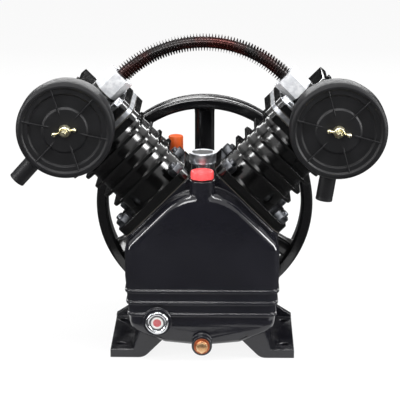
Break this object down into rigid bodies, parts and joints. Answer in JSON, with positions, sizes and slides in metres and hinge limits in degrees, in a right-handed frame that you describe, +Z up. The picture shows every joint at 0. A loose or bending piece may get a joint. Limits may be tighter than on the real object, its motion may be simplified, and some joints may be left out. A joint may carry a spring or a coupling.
{
  "type": "air compressor pump head",
  "caption": "Belt-driven two-cylinder V compressor pump head with finned cylinders, round intake filters, a finned cooler tube and a fan flywheel.",
  "frame": {"origin": "on the base plane, midway between the four mounting holes", "axes": "+X to the right seen from the oil filler side, +Y to the rear, towards the flywheel, +Z up"},
  "size_m": [0.396, 0.258, 0.3469],
  "materials": {
    "case_paint": "glossy black paint on cast iron",
    "gasket": "compressed fibre sheet",
    "zinc_steel": "zinc plated",
    "bearing_steel": "ground and polished",
    "machined_steel": "machined",
    "spring_steel": "rolled spring strip",
    "rubber": "matte",
    "chrome": "bright",
    "sight_glass": "clear",
    "red_dot_plate": "pale disc with a red dot",
    "brass": "satin",
    "copper_washer": "soft copper",
    "cylinder_paint": "black heat-proof paint",
    "head_paint": "glossy black paint",
    "zinc_fitting": "bright zinc plated",
    "filter_plastic": "matte black moulding",
    "filter_felt": "felt",
    "yellow_zinc": "yellow passivated zinc",
    "finned_copper": "dark heat-browned copper",
    "pipe_paint": "black paint",
    "orange_plastic": "soft plastic",
    "red_plastic": "moulded plastic",
    "wheel_paint": "black paint",
    "piston_alloy": "turned",
    "ring_iron": "ground"
  },
  "bodies": {
    "block": {"crankcase": "case_paint", "rear_bearing_cover": "case_paint", "rear_cover_gasket": "gasket", "rear_cover_bolts": "zinc_steel", "front_bearing": "bearing_steel", "rear_bearing": "bearing_steel", "shaft_seal": "rubber", "breather": "chrome", "sight_glass_bezel": "chrome", "sight_glass_lens": "sight_glass", "sight_glass_reflector": "red_dot_plate", "drain_plug": "brass", "drain_washer": "copper_washer", "cylinder_left": "cylinder_paint", "cylinder_right": "cylinder_paint", "base_gaskets": "gasket", "cylinder_studs": "zinc_steel", "cylinder_nuts": "zinc_steel", "suction_gaskets": "gasket", "valve_plates": "machined_steel", "suction_reeds": "spring_steel", "discharge_reeds": "spring_steel", "head_gaskets": "gasket", "head_left": "head_paint", "head_right": "head_paint", "head_bolts": "zinc_steel", "filter_nipples": "zinc_fitting", "filter_base_left": "filter_plastic", "filter_base_right": "filter_plastic", "filter_elements": "filter_felt", "filter_cover_left": "filter_plastic", "filter_cover_right": "filter_plastic", "filter_studs": "zinc_steel", "cooler_tube": "finned_copper", "cooler_adapters": "zinc_fitting", "cooler_union_nuts": "zinc_fitting", "discharge_elbow": "zinc_fitting", "discharge_nut": "zinc_fitting", "discharge_pipe": "pipe_paint", "outlet_block": "zinc_fitting"},
    "crank": {"crankshaft": "machined_steel", "flywheel_key": "bearing_steel", "flywheel": "wheel_paint", "flywheel_washer": "zinc_steel", "flywheel_bolt": "zinc_steel"},
    "left_piston": {"piston_left": "piston_alloy", "piston_rings_left": "ring_iron", "wrist_pin_left": "bearing_steel"},
    "right_piston": {"piston_right": "piston_alloy", "piston_rings_right": "ring_iron", "wrist_pin_right": "bearing_steel"},
    "left_wing_nut": {"wing_nut_left": "yellow_zinc"},
    "right_wing_nut": {"wing_nut_right": "yellow_zinc"},
    "filler_plug": {"oil_filler_plug": "red_plastic", "oil_filler_seal": "rubber"},
    "outlet_cover": {"outlet_cap": "orange_plastic"}
  },
  "joints": [
    {"name": "crank_spin", "type": "hinge", "parent": "block", "child": "crank", "pos_m": [0, 0, 0.13], "axis": [0, 1, 0], "continuous": true},
    {"name": "left_piston_slide", "type": "slide", "parent": "block", "child": "left_piston", "axis": [-0.7071, 0, 0.7071], "range_m": [-0.03806, 0.00794]},
    {"name": "right_piston_slide", "type": "slide", "parent": "block", "child": "right_piston", "axis": [0.7071, 0, 0.7071], "range_m": [-0.03806, 0.00794]},
    {"name": "left_wing_nut_turn", "type": "hinge", "parent": "block", "child": "left_wing_nut", "pos_m": [-0.1417, 0, 0.26124], "axis": [0, -1, 0], "continuous": true},
    {"name": "right_wing_nut_turn", "type": "hinge", "parent": "block", "child": "right_wing_nut", "pos_m": [0.1417, 0, 0.26124], "axis": [0, -1, 0], "continuous": true},
    {"name": "filler_plug_lift", "type": "slide", "parent": "block", "child": "filler_plug", "axis": [0, 0, 1], "range_m": [0, 0.02]},
    {"name": "outlet_cap_lift", "type": "slide", "parent": "block", "child": "outlet_cover", "axis": [0, 0, 1], "range_m": [0, 0.018]}
  ]
}
